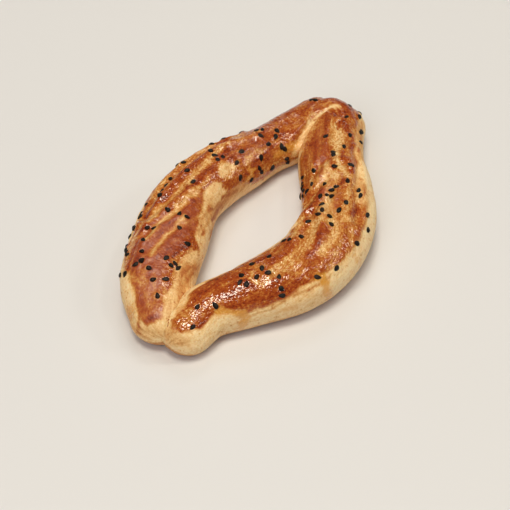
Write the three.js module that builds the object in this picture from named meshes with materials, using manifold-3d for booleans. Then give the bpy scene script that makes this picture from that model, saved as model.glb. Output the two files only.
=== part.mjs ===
// A savory horseshoe pastry, baked in one piece and strewn with nigella seeds.
//
// A strip of layered dough is rolled into a rope, and the rope is bent double into a narrow
// horseshoe. Its two noses are pressed together at the front and bake into one, and at the back
// the rope turns so tightly that both legs lie against each other in a crease, with the bend
// wrapped round behind them. Between the legs is an almond-shaped hole. The edges of the rolled
// layers show as laps: pale grooves that run slantwise along each leg, with a swollen ridge on
// either side. The underside is flat, as it baked on a tray.
//
// Millimetres, +Z up. Y runs from the joined noses at the front (-Y) to the bend at the back (+Y).
// The origin is the middle of the bounding box, on the surface that the pastry rests on.
import * as THREE from "three";
import { mergeVertices } from "three/addons/utils/BufferGeometryUtils.js";
import Module from "manifold-3d";

// ---- The rope's section ----
const ROUNDNESS = 2.15; // 2 is an ellipse, more is squarer
const BELLY = 0.44; // height of the widest line, as a share of the rope's height
const UNDERSIDE = 1.2; // how far the section would reach below the belly, in bellies
const NOSE_LENGTH = 0.95; // length of a rounded end, as a share of the half width there
const MM_PER_DEGREE = 0.244; // length round the rope that a degree takes up

// ---- The two legs and the bend ----
// Each station is [across, along, half width, height], from the nose at the front to the bend.
// A place on the crust is [distance from the nose's tip, degrees from the crown to the outside].
// A lap is a line of such places. A patch of seeds is [from, to, lowest and highest degrees, seeds].
const LEFT_LEG = {
  outside: -1,
  stations: [
    [-12, -53.5, 13.5, 18],
    [-22.5, -40.5, 15.5, 21.5],
    [-30, -19, 16, 23],
    [-35.5, 4.5, 14.5, 23.5],
    [-33, 22, 13.5, 23],
    [-27.5, 36.5, 12, 21.5],
    [-22.5, 50, 10.5, 20],
    [-16.5, 63, 11.5, 19.5],
    [-11.5, 77.5, 11, 19.5],
  ],
  laps: [
    [[41, 14], [48, 3], [57, -13]],
    [[49, 26], [56, 16], [62, 2], [70, -11]],
    [[59, 31], [66, 18], [74, 6], [93, 0], [104, 11]],
    [[60, 44], [72, 40], [80, 30], [93, 26], [112, 32]],
    [[50, 68], [70, 60], [92, 52], [120, 52]],
    [[82, -10], [98, -9], [109, 1], [122, -6]],
    [[140, -55], [144, -38], [150, -26], [155, -14], [165, -10]],
  ],
  seeds: [
    [20, 31, -14, 16, 3],
    [31, 57, -38, 32, 13],
    [33, 66, 44, 80, 11],
    [58, 84, -20, 56, 9],
    [84, 104, -12, 54, 8],
    [104, 124, -90, -14, 9],
    [106, 132, 0, 50, 5],
    [120, 142, -100, -4, 9],
    [158, 171, 6, 38, 4],
  ],
};
const RIGHT_LEG = {
  outside: 1,
  stations: [
    [0, -54.5, 11.5, 17.5],
    [3, -43, 11.5, 20],
    [13.5, -29, 13, 22.5],
    [25, -11, 16, 23.5],
    [29, 6, 16.5, 24],
    [26, 25.5, 16, 23.5],
    [16.5, 42, 15.5, 22.5],
    [7, 54.5, 14.5, 21.5],
    [1, 67.5, 13.5, 20.5],
    [-1.5, 77.5, 12, 20],
  ],
  laps: [
    [[57, 15], [66, 2], [78, -15], [84, -28]],
    [[64, 22], [76, 2], [87, -18], [96, -36]],
    [[72, 22], [84, 10], [96, 3], [104, -14]],
    [[86, -54], [100, -28], [113, -8], [122, 8]],
    [[110, -60], [116, -26], [120, -14], [127, 8]],
    [[125, -35], [130, -26], [133, -8], [138, 5], [156, 8]],
    [[98, 34], [112, 24], [126, 36], [140, 44]],
  ],
  seeds: [
    [14, 30, 8, 38, 3],
    [42, 60, -30, 26, 9],
    [45, 82, 36, 64, 4],
    [66, 88, -58, -18, 5],
    [88, 104, -30, 8, 6],
    [88, 114, 28, 62, 5],
    [103, 120, -30, 18, 9],
    [114, 130, -98, -34, 8],
    [123, 150, -60, 32, 8],
    [148, 174, 14, 64, 7],
  ],
};

const BEND = {
  outside: -1,
  stations: [
    [-15.5, 66, 8.5, 18.5],
    [-13, 73.5, 9, 19.5],
    [-6.5, 79.3, 9.3, 20.6],
    [0.5, 75, 9.3, 20.4],
    [3.5, 67, 9, 19.5],
  ],
  laps: [],
  seeds: [],
};

// ---- Laps, lumps and the mesh ----
const LAP_DEPTH = 0.9; // how deep a lap's groove is cut
const LAP_WIDTH = 1.9; // half the groove's width
const RIDGE_RISE = 0.5; // how far the dough swells beside a lap
const RIDGE_OFFSET = 3.4; // from the groove to the top of that ridge
const LUMP_RISE = 0.35; // slow unevenness of hand-rolled dough
const LUMP_LENGTH = 53; // from one lump to the next along the leg
const LUMP_TWIST = 130; // length over which the lumps turn once round the rope
const RELIEF_FADES = [70, 95]; // degrees between which the relief dies out towards the underside
const RING_STEP = 3.6; // between sections along a leg
const TOP_SEGMENTS = 20; // over the crown, from belly to belly
const UNDER_SEGMENTS = 7; // under the belly
const NOSE_RINGS = 5;

// ---- Nigella seeds ----
const SEED_LENGTH = 3.2;
const SEED_WIDTH = 2.2;
const SEED_HEIGHT = 1.6;
const SEED_PROFILE = [[0, -0.5], [0.88, -0.22], [0.8, 0.15], [0, 0.5]]; // [radius, place] to its tip
const SEED_SIDES = 5;
const SEED_SINK = 0.44; // share of the seed's height that is baked into the crust
const SEED_TIP = 24; // how many degrees a seed may be tipped, end to end
const SEED_FIRST_DRAW = 20; // the first number of the random draw
const SEED_TRIES = 4; // places tried for each seed, of which the barest is kept
const SEED_PAIRS = 5; // every fifth seed lies close beside the one before it
const SEED_PAIR_GAP = 2.7;

const wasm = await Module();
wasm.setup();

// Numbers from 0 to 1 that come out the same each time.
function drawFrom(first) {
  const multiplier = 48271;
  const modulus = 2147483647;
  let state = first;
  return () => {
    state = (state * multiplier) % modulus;
    return state / modulus;
  };
}

const mix = (a, b, share) => a + (b - a) * share;
const radians = THREE.MathUtils.degToRad;
const signedPower = (value, power) => Math.sign(value) * Math.abs(value) ** power;

// A smooth curve through the stations, sampled every RING_STEP or so: centripetal Catmull-Rom.
function smoothStations(stations) {
  const before = stations[0].map((value, i) => 2 * value - stations[1][i]);
  const after = stations.at(-1).map((value, i) => 2 * value - stations.at(-2)[i]);
  const points = [before, ...stations, after];
  const gapTo = (i) => Math.hypot(points[i][0] - points[i - 1][0], points[i][1] - points[i - 1][1]);
  const knots = [0];
  for (let i = 1; i < points.length; i++) knots.push(knots[i - 1] + Math.sqrt(gapTo(i)));
  const blend = (a, b, from, to, t) => a.map((value, i) => mix(value, b[i], (t - from) / (to - from)));
  const smooth = [];
  for (let i = 1; i < points.length - 2; i++) {
    const [p0, p1, p2, p3] = points.slice(i - 1, i + 3);
    const [t0, t1, t2, t3] = knots.slice(i - 1, i + 3);
    const steps = Math.max(1, Math.round(gapTo(i + 1) / RING_STEP));
    for (let k = 0; k < steps; k++) {
      const t = mix(t1, t2, k / steps);
      const a = blend(p0, p1, t0, t1, t);
      const b = blend(p1, p2, t1, t2, t);
      const c = blend(p2, p3, t2, t3, t);
      smooth.push(blend(blend(a, b, t0, t2, t), blend(b, c, t1, t3, t), t1, t2, t));
    }
  }
  return [...smooth, stations.at(-1)];
}

// A leg's sections from nose to bend, rounded off at both ends. Each has its place, the way the
// leg heads there, its half width, the height of its belly and how far it rises above that.
function sectionsOf(leg) {
  const smooth = smoothStations(leg.stations);
  const plain = smooth.map(([x, y, halfWidth, height], i) => {
    const previous = smooth[Math.max(i - 1, 0)];
    const next = smooth[Math.min(i + 1, smooth.length - 1)];
    const heading = new THREE.Vector2(next[0] - previous[0], next[1] - previous[1]).normalize();
    const rise = (1 - BELLY) * height;
    const belly = BELLY * height;
    return { x, y, headingX: heading.x, headingY: heading.y, halfWidth, belly, rise, shrink: 1 };
  });
  const roundedEnd = (end, direction) =>
    Array.from({ length: NOSE_RINGS }, (_, k) => {
      const turn = (((k + 1) / NOSE_RINGS) * Math.PI) / 2;
      const reach = direction * NOSE_LENGTH * end.halfWidth * Math.sin(turn);
      const [x, y] = [end.x + end.headingX * reach, end.y + end.headingY * reach];
      return { ...end, x, y, shrink: Math.cos(turn) };
    });
  return [...roundedEnd(plain[0], -1).reverse(), ...plain, ...roundedEnd(plain.at(-1), 1)];
}

// A point of the smooth skin, some degrees from the crown.
function skinPoint(section, outside, degrees) {
  const sideways = signedPower(Math.sin(radians(degrees)), 2 / ROUNDNESS);
  const upwards = signedPower(Math.cos(radians(degrees)), 2 / ROUNDNESS);
  const across = outside * sideways * section.halfWidth * section.shrink;
  const reach = upwards > 0 ? section.rise : UNDERSIDE * section.belly;
  return new THREE.Vector3(
    section.x + section.headingY * across,
    section.y - section.headingX * across,
    section.belly + upwards * reach * section.shrink,
  );
}

// How far along the crown each section lies, from the nose's tip.
function crownDistances(sections, outside) {
  const crown = sections.map((section) => skinPoint(section, outside, 0));
  const distances = [0];
  for (let i = 1; i < crown.length; i++) {
    distances.push(distances[i - 1] + crown[i].distanceTo(crown[i - 1]));
  }
  return distances;
}

// The section at a distance from the nose's tip, between the two nearest ones.
function sectionAt({ sections, distances }, along) {
  const next = distances.findIndex((distance) => distance >= along);
  const i = next < 0 ? distances.length - 1 : Math.max(next, 1);
  const share = (along - distances[i - 1]) / (distances[i] - distances[i - 1]);
  const [before, after] = [sections[i - 1], sections[i]];
  return Object.fromEntries(Object.keys(after).map((name) => [name, mix(before[name], after[name], share)]));
}

// A place on the smooth skin: X heads along the leg, Z points out of the dough.
function placeOn(leg, along, degrees) {
  const step = 0.5;
  const point = skinPoint(sectionAt(leg, along), leg.outside, degrees);
  const forward = skinPoint(sectionAt(leg, along + step), leg.outside, degrees).sub(point);
  const round = skinPoint(sectionAt(leg, along), leg.outside, degrees + step).sub(point);
  const outwards = new THREE.Vector3().crossVectors(round, forward).multiplyScalar(leg.outside).normalize();
  const sideways = new THREE.Vector3().crossVectors(outwards, forward).normalize();
  forward.crossVectors(sideways, outwards);
  return new THREE.Matrix4().makeBasis(forward, sideways, outwards).setPosition(point);
}

const onCrust = ([along, degrees]) => new THREE.Vector3(along, degrees * MM_PER_DEGREE, 0);

// Distance over the crust from a place on it to the nearest point of a lap.
function distanceToLap(lap, place) {
  const nearest = new THREE.Vector3();
  const distances = lap.slice(1).map((end, i) => {
    new THREE.Line3(onCrust(lap[i]), onCrust(end)).closestPointToPoint(place, true, nearest);
    return nearest.distanceTo(place);
  });
  return Math.min(...distances);
}

// How far the crust stands out from the smooth skin: slow lumps, and grooves between ridges.
function reliefAt(leg, along, degrees) {
  const turn = 2 * radians(degrees) + (2 * Math.PI * along) / LUMP_TWIST;
  let relief = LUMP_RISE * Math.sin((2 * Math.PI * along) / LUMP_LENGTH) * Math.cos(turn);
  for (const lap of leg.laps) {
    const distance = distanceToLap(lap, onCrust([along, degrees]));
    relief -= LAP_DEPTH * Math.exp(-((distance / LAP_WIDTH) ** 2));
    relief += RIDGE_RISE * Math.exp(-(((distance - RIDGE_OFFSET) / LAP_WIDTH) ** 2));
  }
  return relief * (1 - THREE.MathUtils.smoothstep(Math.abs(degrees), ...RELIEF_FADES));
}

function solidFrom(geometry) {
  geometry.deleteAttribute("normal");
  geometry.deleteAttribute("uv");
  const merged = mergeVertices(geometry, 1e-4);
  const mesh = new wasm.Mesh({
    numProp: 3,
    vertProperties: merged.attributes.position.array,
    triVerts: new Uint32Array(merged.index.array),
  });
  return new wasm.Manifold(mesh);
}

// A leg or the bend as a closed skin: rings of points joined by triangles, with a point at
// either end.
function legSolid(leg) {
  const angles = [];
  for (let k = 0; k <= TOP_SEGMENTS; k++) angles.push(-90 + (180 * k) / TOP_SEGMENTS);
  for (let k = 1; k < UNDER_SEGMENTS; k++) angles.push(90 + (180 * k) / UNDER_SEGMENTS);
  const round = angles.length;
  const rings = leg.distances.slice(1, -1);
  const points = rings.flatMap((along) =>
    angles.map((degrees) => {
      const outwards = new THREE.Vector3(0, 0, reliefAt(leg, along, degrees));
      return outwards.applyMatrix4(placeOn(leg, along, degrees));
    }),
  );
  const tips = [leg.sections[0], leg.sections.at(-1)];
  for (const tip of tips) points.push(new THREE.Vector3(tip.x, tip.y, tip.belly));
  const noseTip = rings.length * round;
  const bendTip = noseTip + 1;
  const faces = [];
  for (let k = 0; k < round; k++) {
    const next = (k + 1) % round;
    faces.push([noseTip, k, next], [bendTip, noseTip - round + next, noseTip - round + k]);
    for (let i = 0; i < rings.length - 1; i++) {
      const [a, b] = [i * round + k, i * round + next];
      faces.push([a, b + round, b], [a, a + round, b + round]);
    }
  }
  const index = faces.flatMap(([a, b, c]) => (leg.outside > 0 ? [a, c, b] : [a, b, c]));
  return solidFrom(new THREE.BufferGeometry().setFromPoints(points).setIndex(index));
}

// A nigella seed, lying along X: a faceted drop, blunt at one end and pointed at the other.
function seedGeometry() {
  const profile = SEED_PROFILE.map(([radius, place]) => new THREE.Vector2(radius, place));
  const geometry = new THREE.LatheGeometry(profile, SEED_SIDES);
  geometry.rotateZ(-Math.PI / 2);
  return geometry.scale(SEED_LENGTH, SEED_WIDTH / 2, SEED_HEIGHT / 2);
}

// Where the seeds fell: patch by patch, each in the barest of a few places, with some in pairs.
function seedPlaces(leg) {
  const draw = drawFrom(SEED_FIRST_DRAW + leg.outside);
  const places = [];
  const bareness = ([along, degrees]) => {
    const place = onCrust([along, degrees]);
    return Math.min(...places.map((other) => onCrust([other.along, other.degrees]).distanceTo(place)));
  };
  for (const [from, to, lowest, highest, count] of leg.seeds) {
    for (let n = 0; n < count; n++) {
      const tryPlace = () => [mix(from, to, draw()), mix(lowest, highest, draw())];
      const tries = Array.from({ length: SEED_TRIES }, tryPlace);
      const barest = tries.reduce((best, other) => (bareness(other) > bareness(best) ? other : best));
      let [along, degrees] = barest;
      const yaw = 2 * Math.PI * draw();
      const tip = radians(SEED_TIP) * (draw() - 0.5);
      if (places.length % SEED_PAIRS === SEED_PAIRS - 1) {
        along = places.at(-1).along + SEED_PAIR_GAP * Math.cos(yaw);
        degrees = places.at(-1).degrees + (SEED_PAIR_GAP / MM_PER_DEGREE) * Math.sin(yaw);
      }
      places.push({ along, degrees, yaw, tip });
    }
  }
  return places;
}

function seedSolids(leg) {
  return seedPlaces(leg).map(({ along, degrees, yaw, tip }) => {
    const lift = reliefAt(leg, along, degrees) + (0.5 - SEED_SINK) * SEED_HEIGHT;
    const place = placeOn(leg, along, degrees);
    place.multiply(new THREE.Matrix4().makeTranslation(0, 0, lift));
    place.multiply(new THREE.Matrix4().makeRotationZ(yaw));
    place.multiply(new THREE.Matrix4().makeRotationY(tip));
    return solidFrom(seedGeometry().applyMatrix4(place));
  });
}

// Everything under the surface that the pastry baked on, which cuts its underside flat.
function underTheTray() {
  const size = 400;
  return solidFrom(new THREE.BoxGeometry(size, size, size).translate(0, 0, -size / 2));
}

function pastryGeometry() {
  const solids = [LEFT_LEG, RIGHT_LEG, BEND].flatMap((shape) => {
    const sections = sectionsOf(shape);
    const leg = { ...shape, sections, distances: crownDistances(sections, shape.outside) };
    return [legSolid(leg), ...seedSolids(leg)];
  });
  const pieces = wasm.Manifold.union(solids).subtract(underTheTray()).decompose();
  const pastry = pieces.reduce((largest, piece) => (piece.volume() > largest.volume() ? piece : largest));
  const mesh = pastry.getMesh();
  const geometry = new THREE.BufferGeometry();
  geometry.setAttribute("position", new THREE.BufferAttribute(mesh.vertProperties, 3));
  geometry.setIndex(new THREE.BufferAttribute(mesh.triVerts, 1));
  geometry.computeBoundingBox();
  const { min, max } = geometry.boundingBox;
  geometry.translate(-(min.x + max.x) / 2, -(min.y + max.y) / 2, -min.z);
  geometry.computeVertexNormals();
  return geometry;
}

// Egg-washed crust, golden brown.
const crust = new THREE.MeshStandardMaterial({ color: 0xb8702f, roughness: 0.35, metalness: 0 });

const pastry = new THREE.Mesh(pastryGeometry(), crust);
pastry.name = "horseshoe_pastry";

const group = new THREE.Group();
group.add(pastry);

export default group;
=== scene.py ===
"""The looks of a savory horseshoe pastry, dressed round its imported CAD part.

The dough is modelled again, finely, from the sections that the CAD part has. It is browned,
brushed with egg and strewn with nigella seeds. All shapes are worked out in millimetres and
turned into metres as each mesh is made.
"""

import math

import bpy
import numpy as np
from mathutils import Matrix, Vector, kdtree


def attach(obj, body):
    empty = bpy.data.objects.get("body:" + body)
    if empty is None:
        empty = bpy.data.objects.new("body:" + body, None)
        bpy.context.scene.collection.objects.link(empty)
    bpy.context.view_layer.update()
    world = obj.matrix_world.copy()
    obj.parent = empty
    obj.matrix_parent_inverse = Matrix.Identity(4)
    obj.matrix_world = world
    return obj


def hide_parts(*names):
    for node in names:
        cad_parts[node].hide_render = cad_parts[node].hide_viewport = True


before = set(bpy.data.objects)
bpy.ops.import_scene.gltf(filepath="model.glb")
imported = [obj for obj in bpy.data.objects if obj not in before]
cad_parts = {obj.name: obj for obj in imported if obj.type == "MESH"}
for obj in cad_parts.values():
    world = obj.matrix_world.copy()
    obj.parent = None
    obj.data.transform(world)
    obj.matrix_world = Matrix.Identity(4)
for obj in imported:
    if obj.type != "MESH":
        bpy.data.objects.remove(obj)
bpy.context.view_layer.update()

# ---- Camera ----
# A long lens looks down at the pastry from 47 degrees up, with the noses towards it and the bend
# away to the right, as in the photograph.
MM = 0.001
LENS_MM = 120
SENSOR_MM = 36
MIDDLE = Vector((-2.24, 11.22, 0))  # middle of the pastry's box, from the point looked at
CAMERA_PLACE = Vector((250.5, -416.9, 530.8)) - MIDDLE
CAMERA_TARGET = Vector((0, 0, 0)) - MIDDLE
CAMERA_ROLL = math.radians(-1.25)

lens = bpy.data.cameras.new("camera")
lens.lens = LENS_MM
lens.sensor_width = SENSOR_MM
camera = bpy.data.objects.new("camera", lens)
bpy.context.scene.collection.objects.link(camera)
bpy.context.scene.camera = camera
looking = (CAMERA_TARGET - CAMERA_PLACE).to_track_quat("-Z", "Y").to_matrix().to_4x4()
roll = Matrix.Rotation(CAMERA_ROLL, 4, "Z")
camera.matrix_world = Matrix.Translation(CAMERA_PLACE * MM) @ looking @ roll

# ---- Floor and light ----
# A plain pale floor. Soft boxes hang overhead, to the right and behind, and only these glint on
# the glaze. Two more light the near and far sides, and dim walls fill in.
FLOOR_SIZE = 6.0
FLOOR_COLOUR = (0.73, 0.735, 0.755, 1)
FLOOR_ROUGHNESS = 0.5
# Each lamp is [name, to the right, away from the camera, up, size in metres, watts,
# whether it lights the dough, whether it glints on the glaze].
LAMP_DISTANCE = 3.0
LAMPS = [
    ["overhead", -0.07, -0.12, 0.99, 1.0, 46, True, True],
    ["nose_glint", -0.12, -0.1, 0.99, 0.8, 22, False, True],
    ["right_overhead", 0.27, 0.06, 0.96, 0.36, 5, True, True],
    ["right_high", 0.5, 0.08, 0.86, 0.4, 8, True, True],
    ["right", 0.78, 0.03, 0.62, 0.5, 10, True, True],
    ["far", 0.04, 0.86, 0.51, 0.4, 3, True, True],
    ["near_fill", -0.35, -0.6, 0.72, 2.2, 31, True, False],
    ["far_fill", 0.0, 0.6, 0.8, 0.8, 8, True, False],
]
GLINT_COLOUR = (1.0, 0.925, 0.77)
FILL_COLOUR = (1.0, 0.95, 0.93)
WALL_COLOUR = (1.0, 0.95, 0.88, 1)
WALL_STRENGTH = 0.09

scene = bpy.context.scene
scene.view_settings.view_transform = "Standard"

floor_mesh = bpy.data.meshes.new("floor")
half = FLOOR_SIZE / 2
corners = [(-half, -half, 0), (half, -half, 0), (half, half, 0), (-half, half, 0)]
floor_mesh.from_pydata(corners, [], [(0, 1, 2, 3)])
floor = bpy.data.objects.new("floor", floor_mesh)
scene.collection.objects.link(floor)
floor_look = bpy.data.materials.new("floor")
floor_look.use_nodes = True
floor_shader = floor_look.node_tree.nodes["Principled BSDF"]
floor_shader.inputs["Base Color"].default_value = FLOOR_COLOUR
floor_shader.inputs["Roughness"].default_value = FLOOR_ROUGHNESS
floor_mesh.materials.append(floor_look)

away = (CAMERA_TARGET - CAMERA_PLACE).to_2d().normalized().to_3d()
right = away.cross(Vector((0, 0, 1)))
for name, to_right, to_back, up, size, watts, lights, glints in LAMPS:
    direction = (right * to_right + away * to_back + Vector((0, 0, up))).normalized()
    lamp_data = bpy.data.lights.new(name, "AREA")
    lamp_data.shape = "SQUARE"
    lamp_data.size = size
    lamp_data.energy = watts
    lamp_data.color = GLINT_COLOUR if glints else FILL_COLOUR
    lamp = bpy.data.objects.new(name, lamp_data)
    scene.collection.objects.link(lamp)
    lamp.visible_diffuse = lights
    lamp.visible_glossy = glints
    facing = direction.to_track_quat("Z", "Y").to_matrix().to_4x4()
    lamp.matrix_world = Matrix.Translation(direction * LAMP_DISTANCE) @ facing

world = bpy.data.worlds.new("studio")
scene.world = world
world.use_nodes = True
walls = world.node_tree.nodes["Background"]
walls.inputs["Color"].default_value = WALL_COLOUR
walls.inputs["Strength"].default_value = WALL_STRENGTH

# ---- Crust ----
# A strip of layered dough, rolled into a rope and bent double: the noses are pressed together
# at the front and both legs lie against each other at the bend. It was brushed with egg and
# baked, so the crown is brown and glossy, and the laps, the noses and the sides stayed pale.
ROUNDNESS = 2.15  # 2 is an ellipse, more is squarer
BELLY = 0.44  # height of the widest line, as a share of the rope's height
UNDERSIDE = 1.2  # how far the section would reach below the belly, in bellies
NOSE_LENGTH = 0.95  # length of a rounded end, as a share of the half width there
MM_PER_DEGREE = 0.244  # length round the rope that a degree takes up
RING_STEP = 0.47  # between sections along a leg
TOP_DEGREES = 96  # the finely divided part of a section, each way from the crown
TOP_STEPS = 104
UNDER_STEPS = 24
NOSE_RINGS = 34

LAP_DEPTH = 0.9  # of the groove under the edge of a rolled layer
LAP_WIDTH = 1.9
RIDGE_RISE = 0.5  # of the layer beside that groove
RIDGE_OFFSET = 3.4
LUMP_RISE = 0.35  # of the slow swellings that wind along the rope
LUMP_LENGTH = 53
LUMP_TWIST = 130
RELIEF_FADES = (70, 95)  # degrees from the crown, over which laps and swellings end

# A place on a leg is (distance from the nose's tip, degrees from the crown to the outside). Tones
# run from 0, pale, to 1, darkest. A leg, and the bend, is laid out by these:
# outside: 1 where its outside is on the right of its heading, -1 where it is on the left
# baked: (distance, tone) of the brushed crust away from the strokes
# bare_nose: how far from the nose's tip the brush began
# grain: (distance, mm round the rope) of the line that the rolled layers follow
# stations: x, y, half width and height of the rope, from nose to bend
# laps: edges of the rolled layers
# seeds: patches strewn with seeds, each (start, end, lowest and highest degrees, count)
# outer_edge, inner_edge: how far down the brush reached on each side
# strokes: browning, and painted shade low on the hole sides, each [tone, half width in mm, places]
# egg: stains and drips of egg, each [strength, half width, places]
# dull: where the egg dried dull, each [share, half width, places]
# specks: places of dark specks
LEFT_LEG = {
    "outside": -1,
    "baked": [(0, 0.60), (22, 0.63), (34, 0.68), (60, 0.72), (176, 0.70)],
    "bare_nose": 8.5,
    "grain": [(0, 0), (30, -2), (42, -6), (80, -26), (88, -27), (110, -20), (135, -16), (180, -10)],
    "stations": [
        (-12, -53.5, 13.5, 18),
        (-22.5, -40.5, 15.5, 21.5),
        (-30, -19, 16, 23),
        (-35.5, 4.5, 14.5, 23.5),
        (-33, 22, 13.5, 23),
        (-27.5, 36.5, 12, 21.5),
        (-22.5, 50, 10.5, 20),
        (-16.5, 63, 11.5, 19.5),
        (-11.5, 77.5, 11, 19.5),
    ],
    "laps": [
        [(41, 14), (48, 3), (57, -13)],
        [(49, 26), (56, 16), (62, 2), (70, -11)],
        [(59, 31), (66, 18), (74, 6), (93, 0), (104, 11)],
        [(60, 44), (72, 40), (80, 30), (93, 26), (112, 32)],
        [(50, 68), (70, 60), (92, 52), (120, 52)],
        [(82, -10), (98, -9), (109, 1), (122, -6)],
        [(140, -55), (144, -38), (150, -26), (155, -14), (165, -10)],
    ],
    "seeds": [
        (20, 31, -14, 16, 3),
        (31, 57, -38, 32, 13),
        (33, 66, 44, 80, 11),
        (58, 84, -20, 56, 9),
        (84, 104, -12, 54, 8),
        (104, 124, -90, -14, 9),
        (106, 132, 0, 50, 5),
        (120, 142, -100, -4, 9),
        (158, 171, 6, 38, 4),
    ],
    "outer_edge": [
        (8, 10), (9.5, 46), (14, 49), (22, 46), (26, 44), (33, 48), (37, 58), (50, 66), (90, 70),
        (130, 72), (165, 66), (176, 60),
    ],
    "inner_edge": [
        (8, 8), (10, 4), (14, -2), (18, -8), (22, -13), (23.5, -20), (25, -26), (28, -31), (33, -30),
        (38, -36), (43, -43), (47, -46), (49, -50), (50, -60), (52, -62), (54, -55), (56, -48),
        (60, -46), (66, -46), (74, -44), (79, -38), (86, -36), (92, -40), (95, -70), (106, -78),
        (112, -92), (130, -96), (140, -90), (150, -80), (176, -60),
    ],
    "strokes": [
        [0.40, 5.2, [(28, -46), (36, -52), (44, -72)]],
        [0.55, 0.9, [(30, -44), (38, -56), (43, -70)]],
        [0.55, 0.8, [(27, -52), (34, -62), (38, -72)]],
        [0.38, 3.4, [(8, -15), (15, -20), (21, -32), (24, -42)]],
        [0.16, 2.4, [(43, -52), (47, -62)]],
        [0.66, 1.6, [(51, -45), (51, -60)]],
        [0.20, 2.6, [(57, -62), (66, -58), (76, -55), (86, -50), (92, -48)]],
        [0.34, 0.8, [(58, -50), (68, -52), (78, -60)]],
        [0.34, 0.8, [(62, -62), (74, -68), (86, -74)]],
        [0.62, 0.8, [(60, -61), (61, -61)]],
        [0.62, 0.8, [(73, -59), (77, -67)]],
        [0.42, 3.4, [(66, -92), (78, -84), (92, -84), (106, -80)]],
        [0.60, 0.9, [(72, -78), (84, -86)]],
        [0.62, 1.0, [(90, -72), (100, -84)]],
        [0.16, 3.6, [(99, -26), (99, -38), (103, -36)]],
        [0.10, 1.6, [(98, -32), (104, -28)]],
        [0.66, 0.7, [(93, -22), (94, -40), (96, -60)]],
        [0.62, 1.6, [(96, -66), (104, -62), (108, -50)]],
        [0.62, 2.2, [(109, -34), (110, -48)]],
        [0.32, 1.2, [(111, -42), (114, -34), (120, -30)]],
        [0.34, 1.3, [(112, -56), (113, -64)]],
        [0.72, 1.8, [(115, -46), (117, -60)]],
        [0.38, 1.4, [(106, -84), (112, -72)]],
        # darker brown low on the hole side: partly browning, partly painted shade where the legs shade
        # each other
        [0.52, 3.0, [(118, -80), (134, -84)]],
        [0.44, 3.2, [(128, -62), (139, -58)]],
        [0.50, 3.6, [(108, 20), (124, 16)]],
        [0.62, 1.6, [(110, -14), (117, -2)]],
        [0.74, 2.8, [(118, -14), (128, -14)]],
        [0.70, 5.5, [(138, 22), (162, 20)]],
        [0.80, 2.0, [(132, 8), (138, 2)]],
        [0.90, 1.2, [(10.5, 12), (11, 38)]],
        [0.26, 4.5, [(3, 20), (5, 50), (8, 80), (18, 84)]],
        [0.60, 0.8, [(14, 48), (12, 58), (10.5, 70), (9.5, 85)]],
        [0.36, 3.2, [(19, 62), (21, 74)]],
        [0.12, 4.2, [(26, 58), (31, 64)]],
        [0.42, 2.0, [(29, 28), (31, 38)]],
        [0.45, 0.9, [(16, 18), (18, 22)]],
        [0.42, 1.0, [(35, 56), (42, 48), (48, 42)]],
        [0.36, 1.3, [(44, 56), (52, 44), (60, 36), (66, 30)]],
        [0.40, 1.2, [(52, 60), (60, 50), (68, 42), (76, 36)]],
        [0.70, 1.0, [(62, 52), (70, 44)]],
        [0.38, 2.6, [(74, 44), (90, 42), (104, 36)]],
        [0.20, 0.8, [(39, 6), (46, 2), (52, -4), (58, -13), (63, -20)]],
        [0.80, 1.4, [(44, 14), (50, 10), (55, 4), (60, -3), (66, -11), (71, -16)]],
        [0.18, 1.5, [(47, 21), (52, 17), (57, 11), (61, 4), (65, -3), (70, -10), (75, -17), (78, -22)]],
        [0.30, 2.0, [(76, -18), (82, -24), (90, -22)]],
        [0.74, 1.0, [(50, 24), (55, 20), (62, 12), (68, 3), (73, -5), (78, -9)]],
        [0.29, 1.5, [(57, 29), (62, 23), (66, 17), (70, 10), (75, 3), (80, -1), (86, -3), (93, -1),
                     (99, 3), (105, 9), (110, 14)]],
        [0.34, 1.6, [(74, 26), (82, 22), (92, 24)]],
        [0.84, 1.5, [(61, 40), (64, 36), (68, 31), (72, 24), (76, 17), (82, 10), (90, 10), (96, 15),
                     (103, 22)]],
        [0.86, 1.5, [(84, -15), (91, -14), (95, -16), (100, -9), (105, -3), (109, 3)]],
        [0.60, 0.8, [(96, -8), (102, 0)]],
        [0.80, 1.4, [(62, -30), (68, -34), (72, -28)]],
        [0.42, 1.2, [(56, -14), (58, -20)]],
        [0.05, 2.2, [(138, -76), (140, -64), (143, -52), (146, -38), (150, -25), (156, -18),
                     (163, -19), (170, -12), (176, 0)]],
        [0.30, 1.2, [(142, -56), (146, -44), (149, -34)]],
        [0.78, 0.7, [(153, -29), (162, -27)]],
    ],
    "egg": [
        [0.7, 3.0, [(19, 62), (21, 74)]],
        [0.6, 2.6, [(129, -62), (139, -60)]],
        [0.5, 1.2, [(112, -56), (113, -64)]],
    ],
    "dull": [
        [0.75, 8.0, [(12, 28), (28, 18), (46, 4), (58, -8)]],
        [0.5, 4.0, [(62, -28), (76, -26)]],
    ],
    "specks": [(7, -6), (8.5, -12), (9, -14), (6, -11)],
}
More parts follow.
